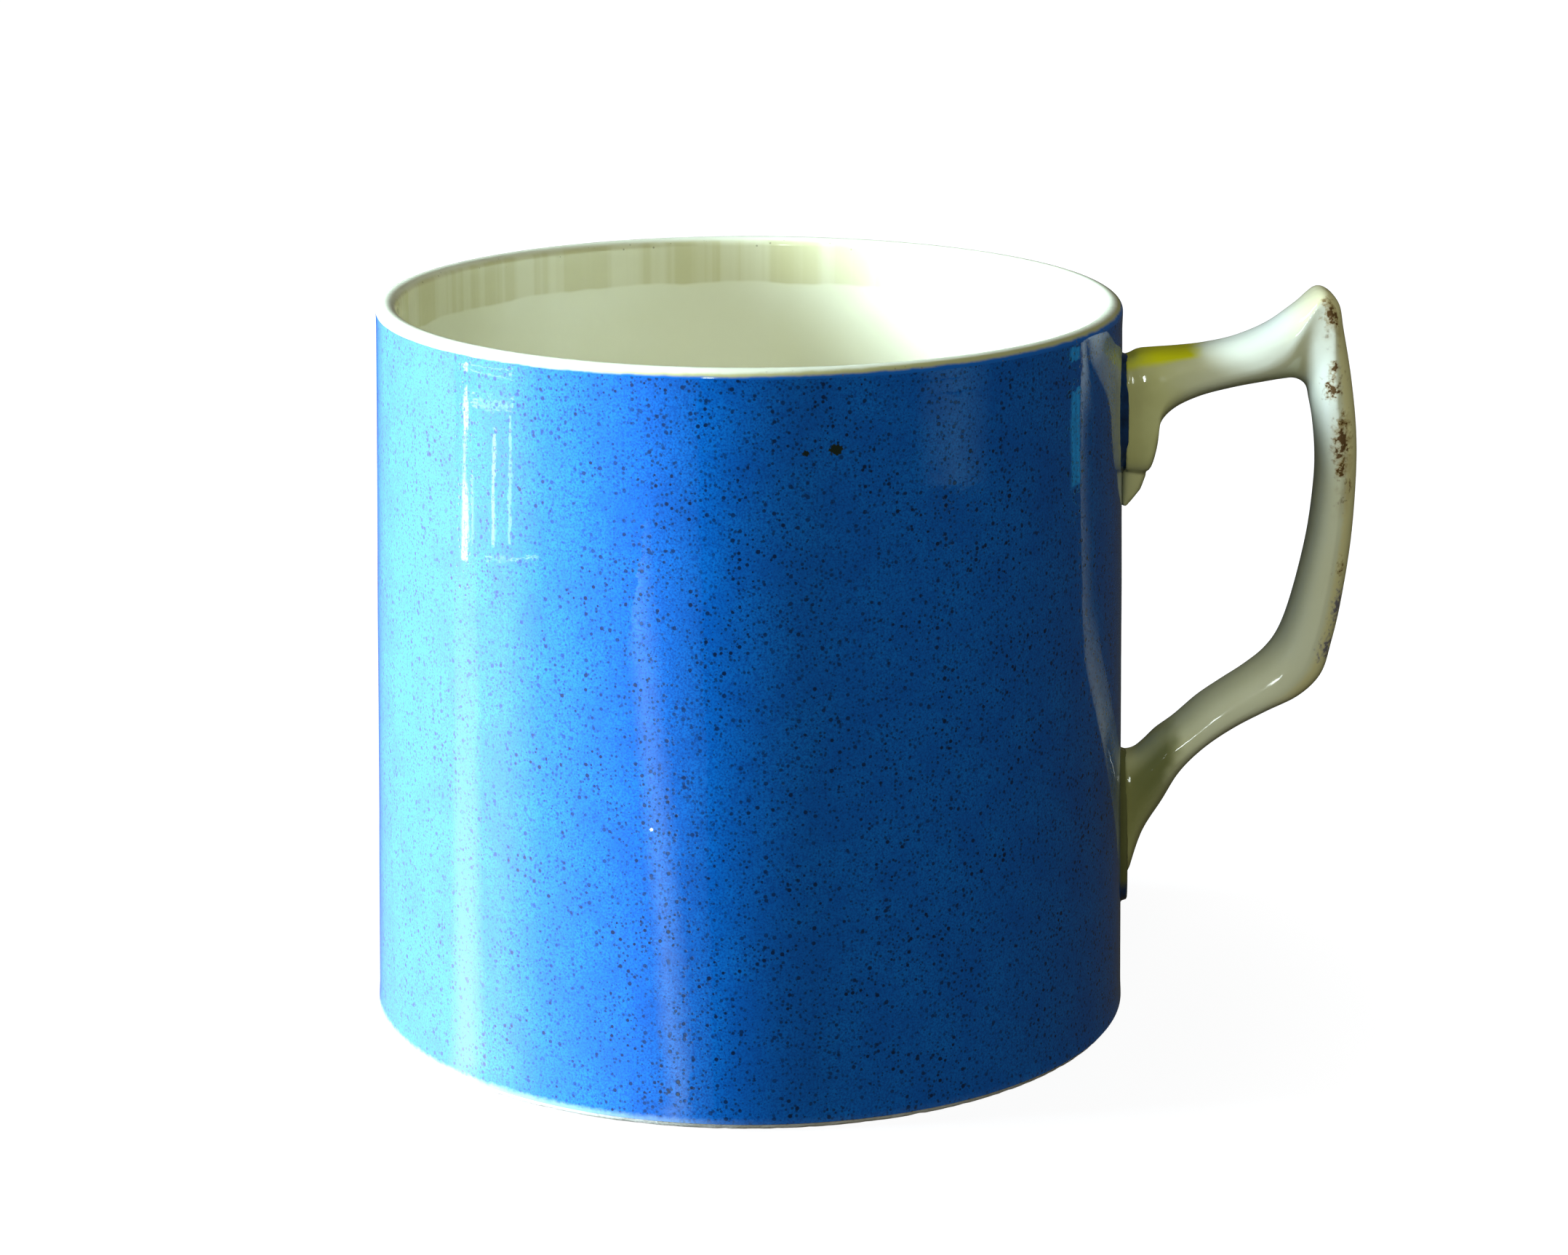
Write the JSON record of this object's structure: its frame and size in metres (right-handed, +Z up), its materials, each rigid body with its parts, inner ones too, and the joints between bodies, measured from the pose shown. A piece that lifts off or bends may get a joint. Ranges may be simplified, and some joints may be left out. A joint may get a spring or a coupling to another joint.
{
  "type": "ceramic mug",
  "caption": "Straight-sided glazed ceramic mug with a white lip, a speckled blue wall and a loop handle with a thumb spur.",
  "frame": {"origin": "centre of the foot ring on the surface that the mug stands on", "axes": "+Z up along the mug's axis, +X out through the handle"},
  "size_m": [0.1128, 0.0874, 0.084],
  "materials": {
    "clay": "bare white earthenware, matte, seen only on the foot ring",
    "slip": "luting slip under a thin run of blue glaze, gloss",
    "powder_blue_glaze": "gloss glaze with a fine dense dark blue speckle",
    "ivory_glaze": "gloss ivory glaze with light wear and stain marks on the handle's ridge"
  },
  "bodies": {
    "root": {"mug_body": "clay", "handle": "clay", "upper_slip_joint": "slip", "lower_slip_joint": "slip", "blue_glaze": "powder_blue_glaze", "lining_glaze": "ivory_glaze", "handle_glaze": "ivory_glaze", "base_glaze": "ivory_glaze"}
  },
  "joints": []
}
